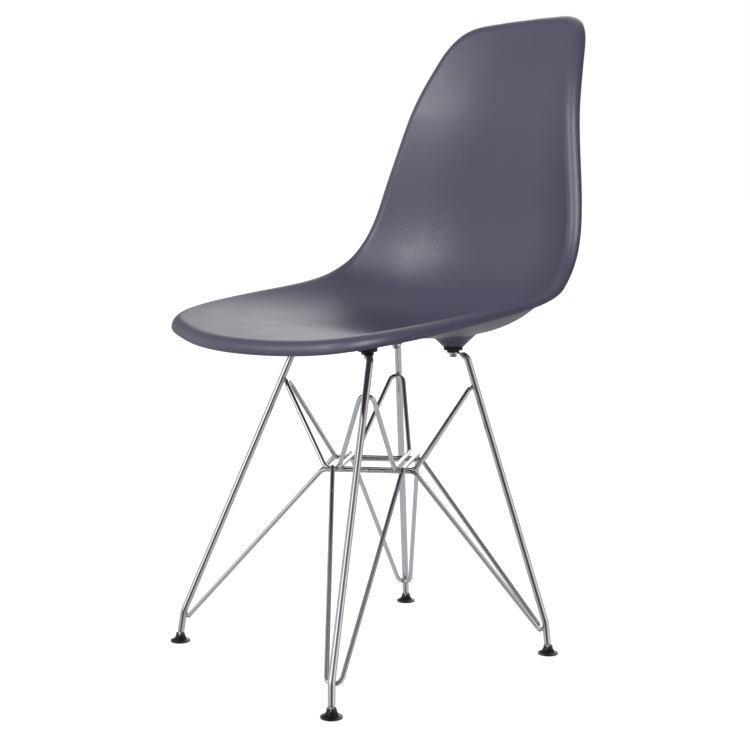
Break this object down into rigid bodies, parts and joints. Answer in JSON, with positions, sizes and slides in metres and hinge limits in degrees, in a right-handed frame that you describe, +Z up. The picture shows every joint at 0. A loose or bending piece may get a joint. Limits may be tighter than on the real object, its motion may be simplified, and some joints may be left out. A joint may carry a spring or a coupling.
{
  "type": "moulded plastic shell chair on a welded rod base",
  "caption": "Armless one-piece plastic shell chair on a chromed rod base of splayed legs tied by crossing wire loops, with rubber shock mounts and swivelling clip-on glides",
  "frame": {"origin": "On the floor, under the middle of the chair's overall outline.", "axes": "+Z up, -Y the way the sitter faces, +X the sitter's left."},
  "size_m": [0.4758, 0.4949, 0.8195],
  "materials": {
    "shell_plastic": "satin, very finely grained, dark slate blue-grey",
    "chrome_rod": "bright polished plating",
    "mount_rubber": "dull black",
    "insert_brass": "plain turned",
    "zinc_steel": "bright zinc plating",
    "glide_plastic": "semi-gloss black"
  },
  "bodies": {
    "chair": {"seat_shell": "shell_plastic", "leg_front_left": "chrome_rod", "shock_mount_front_left": "mount_rubber", "threaded_insert_front_left": "insert_brass", "mount_bolt_front_left": "zinc_steel", "washer_front_left": "zinc_steel", "leg_front_right": "chrome_rod", "shock_mount_front_right": "mount_rubber", "threaded_insert_front_right": "insert_brass", "mount_bolt_front_right": "zinc_steel", "washer_front_right": "zinc_steel", "leg_rear_left": "chrome_rod", "shock_mount_rear_left": "mount_rubber", "threaded_insert_rear_left": "insert_brass", "mount_bolt_rear_left": "zinc_steel", "washer_rear_left": "zinc_steel", "leg_rear_right": "chrome_rod", "shock_mount_rear_right": "mount_rubber", "threaded_insert_rear_right": "insert_brass", "mount_bolt_rear_right": "zinc_steel", "washer_rear_right": "zinc_steel", "upper_brace_left": "chrome_rod", "upper_brace_right": "chrome_rod", "lower_brace_left": "chrome_rod", "lower_brace_right": "chrome_rod"},
    "glide_front_left": {"glide_front_left": "glide_plastic"},
    "glide_front_right": {"glide_front_right": "glide_plastic"},
    "glide_rear_left": {"glide_rear_left": "glide_plastic"},
    "glide_rear_right": {"glide_rear_right": "glide_plastic"}
  },
  "joints": [
    {"name": "glide_front_left_tilt", "type": "hinge", "parent": "chair", "child": "glide_front_left", "pos_m": [0.17619, -0.20572, 0.0076], "axis": [0.8003, 0.5996, 0], "range_deg": [-7, 7]},
    {"name": "glide_front_right_tilt", "type": "hinge", "parent": "chair", "child": "glide_front_right", "pos_m": [-0.17619, -0.20572, 0.0076], "axis": [0.8003, -0.5996, 0], "range_deg": [-7, 7]},
    {"name": "glide_rear_left_tilt", "type": "hinge", "parent": "chair", "child": "glide_rear_left", "pos_m": [0.15051, 0.15204, 0.0076], "axis": [-0.6898, 0.724, 0], "range_deg": [-7, 7]},
    {"name": "glide_rear_right_tilt", "type": "hinge", "parent": "chair", "child": "glide_rear_right", "pos_m": [-0.15051, 0.15204, 0.0076], "axis": [-0.6898, -0.724, 0], "range_deg": [-7, 7]}
  ]
}
